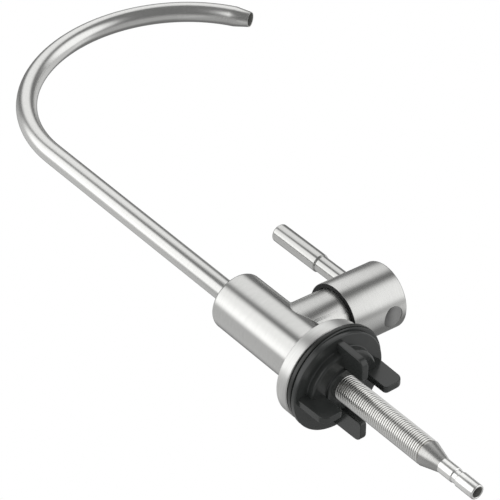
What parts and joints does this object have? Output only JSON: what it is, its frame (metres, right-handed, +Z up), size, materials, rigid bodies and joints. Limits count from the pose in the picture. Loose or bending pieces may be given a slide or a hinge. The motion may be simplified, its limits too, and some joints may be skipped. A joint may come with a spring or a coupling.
{
  "type": "reverse osmosis faucet",
  "caption": "Drinking water faucet with a side lever, a swivelling gooseneck spout and a threaded shank held by a wing nut.",
  "frame": {"origin": "centre of the base flange's underside, where the faucet sits on the deck, on the column's axis", "axes": "+Z up the column, towards the spout; +X along the side branch, towards the handle; +Y completes the right hand"},
  "size_m": [0.1546, 0.0454, 0.3483],
  "materials": {
    "brushed_steel": "satin brushed stainless steel",
    "polished_steel": "polished stainless steel",
    "nickel_brass": "bright nickel-plated brass",
    "brass": "machined brass",
    "black_rubber": "moulded rubber",
    "black_plastic": "moulded plastic, fine matt texture",
    "grey_plastic": "moulded plastic, satin",
    "ceramic": "lapped alumina",
    "spring_steel": "spring steel"
  },
  "bodies": {
    "faucet": {"faucet_body": "brushed_steel", "base_flange": "brushed_steel", "threaded_shank": "nickel_brass", "shank_o_ring": "black_rubber", "deck_gasket": "black_rubber", "spout_snap_ring": "spring_steel", "spout_bush": "black_plastic", "seat_seal": "black_rubber", "fixed_disc": "ceramic", "cartridge_housing": "brass", "cartridge_o_ring": "black_rubber"},
    "handle": {"handle_cap": "brushed_steel", "handle_ring": "black_plastic", "lever_rod": "polished_steel", "set_screw": "spring_steel", "screw_plug": "grey_plastic", "cartridge_stem": "brass", "stem_o_ring": "black_rubber", "stem_clip": "spring_steel", "moving_disc": "ceramic"},
    "spout": {"spout_tube": "polished_steel", "spout_ferrule": "brass", "spout_o_ring_lower": "black_rubber", "spout_o_ring_upper": "black_rubber"},
    "washers": {"clamp_gasket": "black_rubber", "slip_washer": "black_plastic"},
    "nut": {"wing_nut": "black_plastic"}
  },
  "joints": [
    {"name": "handle_turn", "type": "hinge", "parent": "faucet", "child": "handle", "pos_m": [0.0384, 0, 0.0275], "axis": [1, 0, 0], "range_deg": [0, 90]},
    {"name": "spout_swivel", "type": "hinge", "parent": "faucet", "child": "spout", "pos_m": [0, 0, 0.0592], "axis": [0, 0, 1], "continuous": true},
    {"name": "nut_travel", "type": "slide", "parent": "faucet", "child": "washers", "axis": [0, 0, -1], "range_m": [0, 0.04763]},
    {"name": "nut_spin", "type": "hinge", "parent": "washers", "child": "nut", "pos_m": [0, 0, 0], "axis": [0, 0, -1], "range_deg": [0, 16200]}
  ],
  "couplings": [
    {"joint": "nut_travel", "follows": "nut_spin", "m_per_rad": 0.00016844}
  ]
}
